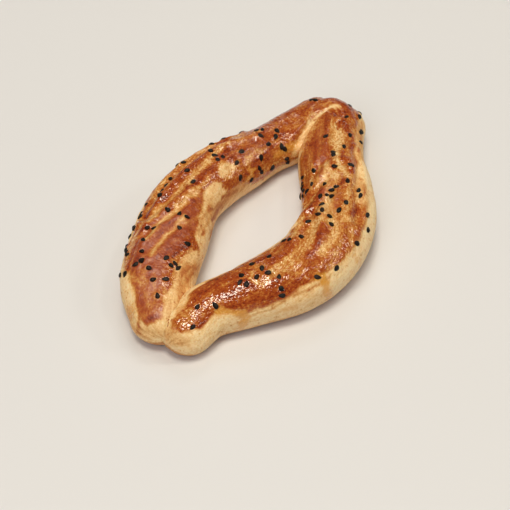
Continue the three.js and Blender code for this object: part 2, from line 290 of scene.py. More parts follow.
RIGHT_LEG = {
    "outside": 1,
    "baked": [(0, 0.70), (60, 0.72), (72, 0.64), (88, 0.52), (125, 0.50), (140, 0.62), (176, 0.70)],
    "bare_nose": 8.5,
    "grain": [(0, 0), (50, 2), (60, 0), (98, -15), (106, -16), (125, -13), (150, -10), (180, -18)],
    "stations": [
        (0, -54.5, 11.5, 17.5),
        (3, -43, 11.5, 20),
        (13.5, -29, 13, 22.5),
        (25, -11, 16, 23.5),
        (29, 6, 16.5, 24),
        (26, 25.5, 16, 23.5),
        (16.5, 42, 15.5, 22.5),
        (7, 54.5, 14.5, 21.5),
        (1, 67.5, 13.5, 20.5),
        (-1.5, 77.5, 12, 20),
    ],
    "laps": [
        [(57, 15), (66, 2), (78, -15), (84, -28)],
        [(64, 22), (76, 2), (87, -18), (96, -36)],
        [(72, 22), (84, 10), (96, 3), (104, -14)],
        [(86, -54), (100, -28), (113, -8), (122, 8)],
        [(110, -60), (116, -26), (120, -14), (127, 8)],
        [(125, -35), (130, -26), (133, -8), (138, 5), (156, 8)],
        [(98, 34), (112, 24), (126, 36), (140, 44)],
    ],
    "seeds": [
        (14, 30, 8, 38, 3),
        (42, 60, -30, 26, 9),
        (45, 82, 36, 64, 4),
        (66, 88, -58, -18, 5),
        (88, 104, -30, 8, 6),
        (88, 114, 28, 62, 5),
        (103, 120, -30, 18, 9),
        (114, 130, -98, -34, 8),
        (123, 150, -60, 32, 8),
        (148, 174, 14, 64, 7),
    ],
    "outer_edge": [
        (8, 4), (9, 28), (12, 33), (17, 44), (24, 43), (28, 45), (32, 50), (36, 57), (38, 62), (40, 68),
        (45, 68), (50, 65), (55, 62), (58, 56), (62, 52), (66, 49), (70, 49),
        (74, 52), (78, 52), (81, 55), (85, 52), (88, 58), (92, 55), (96, 52), (100, 48), (105, 44),
        (107, 38), (109, 24), (120, 22), (125, 32), (130, 40), (134, 42), (145, 42), (155, 48), (176, 52),
    ],
    "inner_edge": [
        (8, -2), (10, -10), (15, -12), (20, -16), (26, -26), (34, -36), (44, -42), (56, -48), (70, -50),
        (90, -56), (96, -66), (110, -74), (120, -84), (130, -80), (138, -72), (146, -62), (152, -58),
        (160, -50), (168, -34), (176, -20),
    ],
    "strokes": [
        [0.28, 3.5, [(4, -40), (4, 30), (6, 56)]],
        [0.56, 3.2, [(10, 2), (13, 22)]],
        [0.45, 2.4, [(16, -10), (17, 14)]],
        [0.84, 1.8, [(17, 38), (22, 36)]],
        [0.80, 2.4, [(24, -10), (34, -12), (42, -20)]],
        [0.34, 1.6, [(27, 44), (32, 50), (38, 60), (39, 74), (39, 92)]],
        [0.78, 2.8, [(44, 50), (52, 54), (60, 46)]],
        [0.54, 2.8, [(50, 10), (52, 22)]],
        [0.30, 0.8, [(48, 0), (48, 15), (50, 28)]],
        [0.80, 0.9, [(44, -9), (49, -9)]],
        [0.50, 1.6, [(56, 14), (62, 16), (70, 14)]],
        [0.36, 1.2, [(58, 10), (64, 6), (70, 0), (76, -6), (82, -14), (90, -22)]],
        [0.24, 1.0, [(62, 18), (68, 12), (74, 4), (80, -4), (86, -10), (92, -13)]],
        [0.24, 1.0, [(56, 6), (62, 0), (68, -6), (76, -14)]],
        [0.76, 1.3, [(58, -4), (64, -10), (71, -12), (74, -16)]],
        [0.60, 0.9, [(60, 22), (67, 15), (73, 9)]],
        [0.84, 1.6, [(73, 12), (78, 8), (83, 3), (88, -1)]],
        [0.26, 1.5, [(76, 20), (82, 16), (88, 14), (94, 12), (100, 12)]],
        [0.66, 1.0, [(78, -22), (86, -30), (92, -34)]],
        [0.34, 1.4, [(76, -32), (84, -42), (90, -50)]],
        [0.42, 2.2, [(90, 8), (98, 6), (104, 12), (112, 10)]],
        [0.25, 1.0, [(92, 0), (98, -4), (104, -16)]],
        [0.56, 1.6, [(96, -8), (104, -2), (112, 2)]],
        [0.20, 1.8, [(96, -14), (103, -17), (108, -22)]],
        [0.22, 1.3, [(107, -20), (114, -24), (119, -18)]],
        [0.90, 2.0, [(97, -46), (101, -38), (105, -32), (111, -28), (114, -30)]],
        [0.34, 1.2, [(102, -58), (108, -46), (114, -38), (120, -32)]],
        [0.36, 1.0, [(108, -66), (114, -54), (122, -46)]],
        [0.84, 1.6, [(92, 48), (100, 46), (106, 42)]],
        [0.86, 1.3, [(99, 25), (104, 28)]],
        [0.30, 3.2, [(109, 36), (118, 34)]],
        [0.55, 0.9, [(108, 44), (114, 54)]],
        [0.60, 0.8, [(112, 40), (115, 38)]],
        [0.84, 1.2, [(116, 4), (119, 8)]],
        [0.50, 1.6, [(112, 20), (119, 22)]],
        [0.86, 1.6, [(122, 20), (129, 32)]],
        [0.72, 2.8, [(114, -56), (121, -66)]],
        # darker red-brown low on the hole side: partly browning, partly painted shade where the legs
        # shade each other
        [0.74, 2.4, [(118, -78), (128, -74)]],
        [0.18, 1.8, [(120, -6), (126, -12), (131, -14)]],
        [0.70, 1.3, [(125, -8), (131, -6)]],
        [0.20, 1.2, [(118, 14), (124, 6), (130, 2), (136, 5)]],
        [0.84, 1.3, [(131, 14), (138, 18)]],
        [0.80, 1.6, [(131, 36), (138, 34), (146, 36)]],
        [0.20, 2.7, [(139, 10), (147, 11), (153, 8)]],
        [0.74, 2.6, [(134, -22), (142, -26), (146, -36)]],
        [0.66, 1.8, [(152, -20), (158, -26), (164, -20)]],
        [0.82, 2.2, [(152, 26), (158, 20), (164, 22)]],
        [0.62, 1.4, [(146, 34), (152, 38), (160, 38)]],
        [0.36, 3.6, [(136, 56), (150, 58), (164, 62)]],
        [0.62, 1.0, [(141, 51), (143, 52)]],
        [0.40, 3.8, [(148, -62), (156, -52), (164, -44)]],
        [0.50, 2.4, [(150, -44), (158, -38)]],
        [0.04, 5.0, [(76, 82), (100, 66), (126, 56)]],
        [0.50, 0.45, [(43, 78), (49, 75), (53, 72), (56, 66)]],
        [0.45, 0.45, [(60, 62), (68, 58), (74, 60)]],
    ],
    "egg": [
        [0.7, 1.6, [(28, 46), (33, 52), (38, 64)]],
        [0.9, 1.9, [(40, 66), (40, 84), (39, 104)]],
        [1.0, 1.6, [(71, 48), (71, 76), (72, 104)]],
        [0.5, 1.2, [(86, 60), (87, 92)]],
        [0.6, 1.4, [(57, 85), (60, 86)]],
        [0.6, 1.8, [(152, -60), (158, -52)]],
    ],
    "dull": [
        [0.5, 4.0, [(96, -10), (120, -20), (150, -20)]],
    ],
    "specks": [(10.5, -12), (8, -15), (10, -20), (9, -17)],
}

BEND = {
    "outside": -1,
    "baked": [(0, 0.66), (60, 0.66)],
    "bare_nose": -9,
    "grain": [(0, 0), (60, 0)],
    "stations": [
        (-15.5, 66, 8.5, 18.5),
        (-13, 73.5, 9, 19.5),
        (-6.5, 79.3, 9.3, 20.6),
        (0.5, 75, 9.3, 20.4),
        (3.5, 67, 9, 19.5),
    ],
    "laps": [],
    "seeds": [],
    "outer_edge": [(0, 62), (20, 66), (35, 60), (60, 62)],
    "inner_edge": [(0, -70), (60, -70)],
    "strokes": [
        [0.85, 1.2, [(14, 30), (26, 22), (40, 30)]],
        [0.45, 0.8, [(10, 44), (24, 40), (34, 46)]],
        [0.09, 1.3, [(10, -36), (21, -33), (26, -26), (31, -20), (34, -8), (35, 4)]],
    ],
    "egg": [],
    "dull": [],
    "specks": [],
}

TONE_UNBRUSHED = 0.11
TONE_BASE = 0.42
TONE_DARKEST = 1.1
EDGE_FEATHER = (-1.2, 1.4)  # mm over which the brushed crown turns into bare dough
BASE_DEGREES = (104, 130)  # degrees from the crown over which a side turns into the underside
SIDE_DEGREES = (60, 90)  # and over which the pitted crown turns into a smooth side
CRACKED_FROM = (45, 70)  # and over which the cracks of a bare side begin
CRACKED_TO = (100, 125)  # and end
TIP_LENGTH = 4  # mm over which the laps fade out at either end of a leg

# Unevenness is made of kinds, each of them (size of its lumps in mm, strength, first draw).
STREAKS = [(1.5, 0.65, 5), (0.75, 0.35, 12)]
STREAK_STRETCH = 6  # how many times longer than wide
STREAK_DEPTH = 0.15  # how little they change from the crown down
STREAK_TONE = 0.28
LAYERS_START = (9, 22)  # from the nose's tip, over which the rolled layers begin to show
FEATHERS_ON_NOSE = 0.3
FEATHERS_ON_LAYERS = 1.3
WANDER_ALONG = [(4.1, 0.9, 1), (1.6, 0.4, 2)]
WANDER_AROUND = [(3.7, 0.6, 3), (1.4, 0.3, 4)]
CLOUDS = [(7.0, 0.4, 13), (3.2, 0.35, 6), (1.7, 0.35, 14)]
CLOUD_TONE = 0.2
FAINT_SHARE = 0.3  # of the streaks on the noses, and of streaks and clouds on bare dough

# A stroke is whole up to its core and gone at its rim, both in half widths from its line.
STROKE_CORE = 0.2
STROKE_RIM = 1.5
STROKE_CORE_SHIFT = -0.3  # in mm
STROKE_RIM_SHIFT = 0.5
STROKE_FILL = 0.92
STROKE_RAGGED = 0.35  # how much the streaks add to it and take from it
STROKE_TONE = 0.12
DULL_CORE = 0.3
EGG_CORE = 0.4
SPECK_SIZE = (0.1, 0.5)
SPECK_LENGTH = 0.2
SPECK_DEGREES = 0.3

BROWN_RISE = 0.14  # how far the darkest dough stands out above the palest
BROWN_LEVEL = 0.45
PITS = [(5.2, 0.17, 7), (2.4, 0.12, 8), (1.4, 0.07, 9)]
PITS_LOST = 0.7  # the share that is missing on the smooth sides
CRACK_DEPTH = 0.07
CRACK_STRETCH = 4
CRACK_DRAW = 10

# The seeds fell some in pairs, each in the barest of a few places, and the egg rose round them.
SEED_TIP = 24  # degrees from the lowest to the highest tip
SEED_FIRST_DRAW = 20
SEED_TRIES = 4
SEED_PAIRS = 5  # one seed in five lies beside the one before it
SEED_PAIR_GAP = 2.7
SEED_RIM = 0.24  # height of the egg round a seed
SEED_RIM_RADIUS = 1.5
SEED_RIM_WIDTH = 0.65


def smooth_stations(stations):
    """A smooth curve through the stations, centripetal Catmull-Rom, sampled every RING_STEP."""
    inner = np.array(stations, float)
    points = np.vstack([2 * inner[0] - inner[1], inner, 2 * inner[-1] - inner[-2]])
    gaps = np.hypot(*np.diff(points[:, :2], axis=0).T)
    knots = np.concatenate([[0], np.cumsum(np.sqrt(gaps))])
    smooth = []
    for i in range(1, len(points) - 2):
        p0, p1, p2, p3 = points[i - 1 : i + 3]
        t0, t1, t2, t3 = knots[i - 1 : i + 3]
        steps = max(1, round(gaps[i] / RING_STEP))
        t = (t1 + (t2 - t1) * np.arange(steps) / steps)[:, None]

        def blend(a, b, start, end):
            return (a * (end - t) + b * (t - start)) / (end - start)

        a, b, c = blend(p0, p1, t0, t1), blend(p1, p2, t1, t2), blend(p2, p3, t2, t3)
        smooth.append(blend(blend(a, b, t0, t2), blend(b, c, t1, t3), t1, t2))
    return np.vstack([*smooth, inner[-1:]])


def sections_of(stations):
    """Sections from nose to bend: x, y, heading x and y, half width, belly, rise, shrink."""
    smooth = smooth_stations(stations)
    last = len(smooth) - 1
    order = np.arange(last + 1)
    heading = smooth[np.minimum(order + 1, last), :2] - smooth[np.maximum(order - 1, 0), :2]
    heading /= np.linalg.norm(heading, axis=1)[:, None]
    half_width, height = smooth[:, 2], smooth[:, 3]
    belly, rise, shrink = BELLY * height, (1 - BELLY) * height, np.ones(last + 1)
    plain = np.column_stack([smooth[:, :2], heading, half_width, belly, rise, shrink])
    turns = np.arange(1, NOSE_RINGS + 1) / NOSE_RINGS * np.pi / 2

    def rounded_end(end, direction):
        rings = np.repeat(end[None], NOSE_RINGS, axis=0)
        reach = direction * NOSE_LENGTH * end[4] * np.sin(turns)
        rings[:, :2] += reach[:, None] * end[2:4]
        rings[:, 7] = np.cos(turns)
        return rings

    return np.vstack([rounded_end(plain[0], -1)[::-1], plain, rounded_end(plain[-1], 1)])


def signed_power(value, power):
    """A power that keeps the value's sign."""
    return np.sign(value) * np.abs(value) ** power


def skin(sections, outside, degrees):
    """Points of the smooth skin, a ring of them for each section."""
    x, y, heading_x, heading_y, half_width, belly, rise, shrink = sections.T[:, :, None]
    sideways = signed_power(np.sin(np.radians(degrees)), 2 / ROUNDNESS)[None]
    upwards = signed_power(np.cos(np.radians(degrees)), 2 / ROUNDNESS)[None]
    across = outside * sideways * half_width * shrink
    reach = np.where(upwards > 0, rise, UNDERSIDE * belly)
    points = [x + heading_y * across, y - heading_x * across, belly + upwards * reach * shrink]
    return np.stack(points, axis=-1)


def outward_from(points, sections, outside):
    """The direction out of the smooth skin at each of its points."""
    forward = np.gradient(points, axis=0)
    ring = np.concatenate([points[:, -1:], points, points[:, :1]], axis=1)
    round_step = (ring[:, 2:] - ring[:, :-2]) / 2
    outwards = np.cross(round_step, forward) * outside
    outwards /= np.maximum(np.linalg.norm(outwards, axis=-1), 1e-9)[..., None]
    outwards[0] = [*-sections[0, 2:4], 0]
    outwards[-1] = [*sections[-1, 2:4], 0]
    return outwards


def smoothstep(value, start, end):
    """0 up to the start, 1 from the end on, and a smooth rise between them."""
    share = np.clip((value - start) / (end - start), 0, 1)
    return share * share * (3 - 2 * share)


def lumps(points, size, first):
    """Smooth lumps of about that size, from -1 to 1, from a seeded draw."""
    cells = 64
    lattice = np.random.default_rng(first).uniform(-1, 1, (cells, cells, cells))
    place = points / size
    cell = np.floor(place).astype(int)
    share = smoothstep(place - cell, 0, 1)
    total = np.zeros(points.shape[:-1])
    for corner in np.ndindex(2, 2, 2):
        weight = np.prod(np.where(corner, share, 1 - share), axis=-1)
        i, j, k = np.moveaxis((cell + corner) % cells, -1, 0)
        total += weight * lattice[i, j, k]
    return total


def unevenness(points, kinds):
    """Lumps of several kinds together."""
    return sum(strength * lumps(points, size, first) for size, strength, first in kinds)


def distance_to(line, along, around):
    """Distance over the crust from each place to the nearest point of a line of places."""
    nearest = np.full(np.broadcast(along, around).shape, np.inf)
    points = [(s, degrees * MM_PER_DEGREE) for s, degrees in line]
    for (s0, r0), (s1, r1) in zip(points, points[1:]):
        run, climb = s1 - s0, r1 - r0
        share = np.clip(((along - s0) * run + (around - r0) * climb) / (run * run + climb * climb), 0, 1)
        gap = np.hypot(along - s0 - share * run, around - r0 - share * climb)
        nearest = np.minimum(nearest, gap)
    return nearest


def on_line(line, along, around, core, rim):
    """1 on a line of places, falling to 0 between two distances from it."""
    return 1 - smoothstep(distance_to(line, along, around), core, rim)


def at(line, along):
    """What a line of (distance along the leg, value) gives at each distance."""
    distances, values = zip(*line)
    return np.interp(along, distances, values)


def lap_relief(leg, along, degrees):
    """How far the dough stands out from the smooth skin: slow lumps, and grooves between ridges."""
    turn = 2 * np.radians(degrees) + 2 * np.pi * along / LUMP_TWIST
    relief = LUMP_RISE * np.sin(2 * np.pi * along / LUMP_LENGTH) * np.cos(turn)
    for lap in leg["laps"]:
        distance = distance_to(lap, along, degrees * MM_PER_DEGREE)
        relief = relief - LAP_DEPTH * np.exp(-((distance / LAP_WIDTH) ** 2))
        relief = relief + RIDGE_RISE * np.exp(-(((distance - RIDGE_OFFSET) / LAP_WIDTH) ** 2))
    return relief * (1 - smoothstep(np.abs(degrees), *RELIEF_FADES))


def draw_from(first):
    """Numbers from 0 to 1 that come out the same each time."""
    state = first
    while True:
        state = state * 48271 % 2147483647
        yield state / 2147483647


def seed_places(leg):
    """Where the seeds fell on a leg, patch by patch, and how each is turned and tipped."""
    draws = draw_from(SEED_FIRST_DRAW + leg["outside"])
    places = []

    def bareness(place):
        gaps = [math.hypot(place[0] - p[0], (place[1] - p[1]) * MM_PER_DEGREE) for p in places]
        return min(gaps, default=math.inf)

    for start, end, lowest, highest, count in leg["seeds"]:
        for _ in range(count):
            tries = []
            for _ in range(SEED_TRIES):
                along = start + (end - start) * next(draws)
                tries.append((along, lowest + (highest - lowest) * next(draws)))
            along, degrees = max(tries, key=bareness)
            yaw = 2 * math.pi * next(draws)
            tip = math.radians(SEED_TIP) * (next(draws) - 0.5)
            if len(places) % SEED_PAIRS == SEED_PAIRS - 1:
                along = places[-1][0] + SEED_PAIR_GAP * math.cos(yaw)
                degrees = places[-1][1] + SEED_PAIR_GAP / MM_PER_DEGREE * math.sin(yaw)
            places.append((along, degrees, yaw, tip))
    return places


def crust_tones_and_shade(leg, points, along, signed, wavy, streaks):
    """How brown each point is, with painted shade low on the hole sides, how glazed and how eggy it is,
    and how far the brush reached it.
    """
    s, r = wavy
    outer = at(leg["outer_edge"], s) * MM_PER_DEGREE - r
    inner = r - at(leg["inner_edge"], s) * MM_PER_DEGREE
    nose = s - leg["bare_nose"]
    brushed = smoothstep(np.minimum(np.minimum(outer, inner), nose), *EDGE_FEATHER)
    browning_and_painted_shade = TONE_UNBRUSHED + (at(leg["baked"], s) - TONE_UNBRUSHED) * brushed
    layered = FAINT_SHARE + (1 - FAINT_SHARE) * smoothstep(along, *LAYERS_START)
    patches = STREAK_TONE * streaks * layered + CLOUD_TONE * unevenness(points, CLOUDS)
    browning_and_painted_shade = browning_and_painted_shade + patches * (FAINT_SHARE + (1 - FAINT_SHARE) * brushed)
    glaze = brushed
    for tone, half_width, line in leg["strokes"]:
        core = STROKE_CORE * half_width + STROKE_CORE_SHIFT
        share = on_line(line, s, r, core, STROKE_RIM * half_width + STROKE_RIM_SHIFT)
        share = np.clip(share * (STROKE_FILL + STROKE_RAGGED * streaks), 0, 1)
        browning_and_painted_shade = browning_and_painted_shade + (tone + STROKE_TONE * streaks - browning_and_painted_shade) * share
        if tone < TONE_UNBRUSHED:
            glaze = glaze * (1 - share)
    for share, half_width, line in leg["dull"]:
        spread = on_line(line, s, r, DULL_CORE * half_width, STROKE_RIM * half_width)
        glaze = glaze * (1 - share * spread)
    base = smoothstep(np.abs(signed) + 0 * s, *BASE_DEGREES)
    browning_and_painted_shade = browning_and_painted_shade + (TONE_BASE - browning_and_painted_shade) * base
    for along_leg, degrees in leg["specks"]:
        line = [(along_leg, degrees), (along_leg + SPECK_LENGTH, degrees + SPECK_DEGREES)]
        speck = on_line(line, along, signed * MM_PER_DEGREE, *SPECK_SIZE)
        browning_and_painted_shade = np.maximum(browning_and_painted_shade, TONE_DARKEST * speck)
    egg = 0 * s
    for share, half_width, line in leg["egg"]:
        spread = on_line(line, s, r, EGG_CORE * half_width, STROKE_RIM * half_width)
        egg = np.maximum(egg, share * spread)
    return browning_and_painted_shade, glaze, egg, brushed, base


def crust_relief(leg, points, along, signed, wavy, browning_and_painted_shade, brushed, base):
    """How far each point stands out from the smooth skin."""
    end = along[-1, 0]
    tips = smoothstep(along, 0, TIP_LENGTH) * (1 - smoothstep(along, end - TIP_LENGTH, end))
    relief = lap_relief(leg, along, signed) * tips
    relief = relief + BROWN_RISE * (browning_and_painted_shade - BROWN_LEVEL) * brushed * (1 - base)
    pitted = 1 - PITS_LOST * smoothstep(np.abs(signed), *SIDE_DEGREES)
    relief = relief + unevenness(points, PITS) * pitted
    for seed_along, seed_degrees, *_ in seed_places(leg):
        distance = np.hypot(along - seed_along, (signed - seed_degrees) * MM_PER_DEGREE)
        relief = relief + SEED_RIM * np.exp(-(((distance - SEED_RIM_RADIUS) / SEED_RIM_WIDTH) ** 2))
    s, r = wavy
    side = smoothstep(np.abs(signed), *CRACKED_FROM) * (1 - smoothstep(np.abs(signed), *CRACKED_TO))
    cracks = lumps(np.stack([s / CRACK_STRETCH, r, 0 * r], -1), 1.0, CRACK_DRAW)
    return relief - CRACK_DEPTH * side * (1 - brushed) * np.maximum(0, 1 - 3 * np.abs(cracks))


def bake(leg):
    """Works out one leg: its points, and how brown (with painted shade in places), how glazed and how
    eggy each of them is.
    """
    top = np.linspace(-TOP_DEGREES, TOP_DEGREES, TOP_STEPS + 1)
    under = np.linspace(TOP_DEGREES, 360 - TOP_DEGREES, UNDER_STEPS + 1)[1:-1]
    degrees = np.concatenate([top, under])
    sections = sections_of(leg["stations"])
    crown = skin(sections, leg["outside"], np.array([0.0]))[:, 0]
    distances = np.concatenate([[0], np.cumsum(np.linalg.norm(np.diff(crown, axis=0), axis=1))])
    points = skin(sections, leg["outside"], degrees)
    outwards = outward_from(points, sections, leg["outside"])

    # A point's place is its distance along the leg and its distance round the rope from the crown.
    along = distances[:, None]
    signed = np.where(degrees > 180, degrees - 360, degrees)[None]
    around = signed * MM_PER_DEGREE + 0 * along

    # The layers run along the grain, so the browning is streaky that way and its edges feather.
    across = around - at(leg["grain"], along)
    stretched = np.stack([along / STREAK_STRETCH + 0 * around, across, STREAK_DEPTH * points[..., 2]], -1)
    streaks = unevenness(stretched, STREAKS)
    feathers = FEATHERS_ON_NOSE + FEATHERS_ON_LAYERS * smoothstep(along, *LAYERS_START)
    wavy_along = along + feathers * streaks + unevenness(points, WANDER_ALONG)
    wavy = (wavy_along, around + unevenness(points, WANDER_AROUND))

    browning_and_painted_shade, glaze, egg, brushed, base = crust_tones_and_shade(leg, points, along, signed, wavy, streaks)
    relief = crust_relief(leg, points, along, signed, wavy, browning_and_painted_shade, brushed, base)
    return {
        "points": points + relief[..., None] * outwards,
        "sections": sections,
        "distances": distances,
        "degrees": degrees,
        "relief": relief,
        "browning_and_painted_shade": np.clip(browning_and_painted_shade, 0, TONE_DARKEST),
        "glaze": np.clip(glaze + egg, 0, 1),
        "egg": egg,
        "rope": np.stack([along + 0 * around, across, 0 * around], -1),
    }


def leg_object(name, leg, baked):
    """The leg as a closed skin: rings of points, drawn together in a point at either end."""
    points = baked["points"][1:-1]
    rings, round_ = points.shape[:2]
    tips = [(*baked["sections"][end, :2], baked["sections"][end, 5]) for end in (0, -1)]
    everything = np.vstack([points.reshape(-1, 3), tips]) * MM
    order = np.arange(rings * round_).reshape(rings, round_)
    after = np.roll(order, -1, axis=1)
    quads = np.stack([order[:-1], after[:-1], after[1:], order[1:]], -1).reshape(-1, 4)
    nose, bend = rings * round_, rings * round_ + 1
    faces = quads.tolist()
    faces += [[nose, b, a] for a, b in zip(order[0].tolist(), after[0].tolist())]
    faces += [[bend, a, b] for a, b in zip(order[-1].tolist(), after[-1].tolist())]
    if leg["outside"] > 0:
        faces = [face[::-1] for face in faces]
    mesh = bpy.data.meshes.new(name)
    mesh.from_pydata(everything.tolist(), [], faces)
    piece = bpy.data.objects.new(name, mesh)
    scene.collection.objects.link(piece)
    return piece


def cut(target, other, operation):
    step = target.modifiers.new(operation, "BOOLEAN")
    step.object = other
    step.operation = operation
    step.solver = "MANIFOLD"


def under_the_tray():
    """Everything below the surface that the pastry baked on."""
    reach, depth = 0.2, 0.1
    corners = []
    for z in (-depth, 0):
        corners += [(-reach, -reach, z), (reach, -reach, z), (reach, reach, z), (-reach, reach, z)]
    faces = [(3, 2, 1, 0), (4, 5, 6, 7), (0, 1, 5, 4), (1, 2, 6, 5), (2, 3, 7, 6), (3, 0, 4, 7)]
    mesh = bpy.data.meshes.new("tray")
    mesh.from_pydata(corners, [], faces)
    piece = bpy.data.objects.new("tray", mesh)
    scene.collection.objects.link(piece)
    return piece


legs = [(leg, bake(leg)) for leg in (LEFT_LEG, RIGHT_LEG, BEND)]
ropes = [leg_object("rope", *leg) for leg in legs]
tray = under_the_tray()
cut(ropes[0], ropes[1], "UNION")
cut(ropes[0], ropes[2], "UNION")
cut(ropes[0], tray, "DIFFERENCE")
joined = ropes[0].evaluated_get(bpy.context.evaluated_depsgraph_get())
crust_mesh = bpy.data.meshes.new_from_object(joined)
crust_mesh.name = "crust"
for scrap in (*ropes, tray):
    bpy.data.objects.remove(scrap)
crust = bpy.data.objects.new("crust", crust_mesh)
scene.collection.objects.link(crust)

# Each point of the joined crust takes its browning, painted shade included, from the point of a leg that
# it came from.
baked_points = np.vstack([baked["points"].reshape(-1, 3) for leg, baked in legs]) * MM
nearest_point = kdtree.KDTree(len(baked_points))
for index, point in enumerate(baked_points):
    nearest_point.insert(point, index)
nearest_point.balance()
origin = np.array([nearest_point.find(vertex.co)[1] for vertex in crust_mesh.vertices])
for name in ("browning_and_painted_shade", "glaze", "egg"):
    values = np.concatenate([baked[name].ravel() for leg, baked in legs])[origin]
    attribute = crust_mesh.attributes.new(name, "FLOAT", "POINT")
    attribute.data.foreach_set("value", values.astype(np.float32))
rope_places = np.concatenate([baked["rope"].reshape(-1, 3) for leg, baked in legs])[origin]
attribute = crust_mesh.attributes.new("rope", "FLOAT_VECTOR", "POINT")
attribute.data.foreach_set("vector", rope_places.astype(np.float32).ravel())

crust_points = np.empty(len(crust_mesh.vertices) * 3)
crust_mesh.vertices.foreach_get("co", crust_points)
crust_points = crust_points.reshape(-1, 3) - np.array(MIDDLE) * MM
crust_mesh.vertices.foreach_set("co", crust_points.ravel())
crust_mesh.polygons.foreach_set("use_smooth", np.ones(len(crust_mesh.polygons), bool))
crust_mesh.update()

# Tones to colours, for the browning and for the painted shade low on the hole sides.
BROWNING_COLOURS = [
    (0.00, (250, 222, 172)),
    (0.16, (238, 196, 134)),
    (0.34, (211, 153, 84)),
    (0.50, (190, 116, 49)),
    (0.70, (165, 76, 26)),
    (0.88, (146, 57, 19)),
    (1.00, (112, 40, 16)),
]
EGG_COLOUR = (222, 156, 60)
EGG_SHARE = 0.85
FIBRE_STRETCH = 0.3  # of the length along the layers, so the fibres are long that way
FINE_SIZE, FINE_MOTTLE = 0.9, 0.85
BROAD_SIZE, BROAD_MOTTLE = 4.0, 0.4
FIBRE_SIZE, FIBRE_MOTTLE = 0.6, 0.7
DOUGH_MOTTLE = 0.45  # the share of the mottle that bare dough has
SPOT_SIZE = 1.3
SCORCHED_BELOW, SCORCHED = 0.4, 0.7
GOLDEN_ABOVE, GOLDEN = 0.58, 0.9
DOUGH_SPECK_SIZE = 2.0
DOUGH_SPECKS_ABOVE, DOUGH_SPECKS = 0.6, 1.8
GLAZE_ROUGHNESS = 0.09
DOUGH_ROUGHNESS = 0.62
ROUGHNESS_MOTTLE = 0.12
CRUST_GLOSS = 0.7
DOUGH_DEPTH = 0.0016  # how far light goes into the dough, in metres
DOUGH_LIGHT = 0.12
DOUGH_LIGHT_REACH = (1.0, 0.45, 0.2)
CRINKLE_SIZE = 2.1
WRINKLE_SIZE, WRINKLES = 0.8, 0.25
BUBBLE_SIZE, BUBBLES = 1.5, 0.1
BUBBLE_EDGE = 5.0
CRINKLE_DEPTH = 0.0003


def node(tree, kind, **settings):
    made = tree.nodes.new(kind)
    for name, value in settings.items():
        setattr(made, name, value)
    return made


def noise(tree, coordinates, size, detail=2.0, roughness=0.5, distortion=0.0):
    """Noise from 0 to 1 with lumps of about that many millimetres."""
    made = node(tree, "ShaderNodeTexNoise")
    made.inputs["Scale"].default_value = 1 / (size * MM)
    made.inputs["Detail"].default_value = detail
    made.inputs["Roughness"].default_value = roughness
    made.inputs["Distortion"].default_value = distortion
    tree.links.new(coordinates, made.inputs["Vector"])
    return made.outputs["Fac"]


def maths(tree, operation, *values):
    made = node(tree, "ShaderNodeMath", operation=operation)
    for socket, value in zip(made.inputs, values):
        if isinstance(value, (int, float)):
            socket.default_value = value
        else:
            tree.links.new(value, socket)
    return made.outputs[0]


def over(tree, value, level):
    """How far a value is over a level, and 0 where it is under it."""
    return maths(tree, "MAXIMUM", maths(tree, "SUBTRACT", value, level), 0.0)


def linear(colour):
    """A screen colour, 0 to 255, as the shader's linear colour."""
    share = [value / 255 for value in colour]
    return (*[v / 12.92 if v <= 0.04045 else ((v + 0.055) / 1.055) ** 2.4 for v in share], 1)


def attribute_of(tree, name, output="Fac"):
    return node(tree, "ShaderNodeAttribute", attribute_name=name).outputs[output]


crust_look = bpy.data.materials.new("crust")
crust_look.use_nodes = True
tree = crust_look.node_tree
shader = tree.nodes["Principled BSDF"]
place = node(tree, "ShaderNodeTexCoord").outputs["Object"]
browning_and_painted_shade = attribute_of(tree, "browning_and_painted_shade")
glaze = attribute_of(tree, "glaze")
egg = attribute_of(tree, "egg")
fibre_place = node(tree, "ShaderNodeMapping")
fibre_place.inputs["Scale"].default_value = (FIBRE_STRETCH * MM, MM, MM)
tree.links.new(attribute_of(tree, "rope", "Vector"), fibre_place.inputs["Vector"])
fibre_place = fibre_place.outputs["Vector"]

# The browning, painted shade included, is mottled, most where it is glazed.
fine = maths(tree, "SUBTRACT", noise(tree, place, FINE_SIZE, 2.0, 0.6), 0.5)
fibre = maths(tree, "SUBTRACT", noise(tree, fibre_place, FIBRE_SIZE, 2.0, 0.6), 0.5)
broad = maths(tree, "SUBTRACT", noise(tree, place, BROAD_SIZE, 2.0, 0.5), 0.5)
mottle = maths(tree, "MULTIPLY", broad, BROAD_MOTTLE)
mottle = maths(tree, "MULTIPLY_ADD", fine, FINE_MOTTLE, mottle)
mottle = maths(tree, "MULTIPLY_ADD", fibre, FIBRE_MOTTLE, mottle)
mottled = maths(tree, "MULTIPLY_ADD", glaze, 1 - DOUGH_MOTTLE, DOUGH_MOTTLE)
tone = maths(tree, "MULTIPLY_ADD", mottle, mottled, browning_and_painted_shade)

# Glazed crust has scorched and golden flecks, and bare dough has a few brown specks.
spots = noise(tree, place, SPOT_SIZE, 1.0, 0.5)
golden = maths(tree, "MULTIPLY", over(tree, spots, GOLDEN_ABOVE), GOLDEN)
scorched = maths(tree, "MAXIMUM", maths(tree, "SUBTRACT", SCORCHED_BELOW, spots), 0.0)
flecks = maths(tree, "SUBTRACT", maths(tree, "MULTIPLY", scorched, SCORCHED), golden)
tone = maths(tree, "MULTIPLY_ADD", flecks, glaze, tone)
specks = over(tree, noise(tree, place, DOUGH_SPECK_SIZE, 2.0, 0.65), DOUGH_SPECKS_ABOVE)
specks = maths(tree, "MULTIPLY", specks, DOUGH_SPECKS)
tone = maths(tree, "MULTIPLY_ADD", specks, maths(tree, "SUBTRACT", 1.0, glaze), tone)

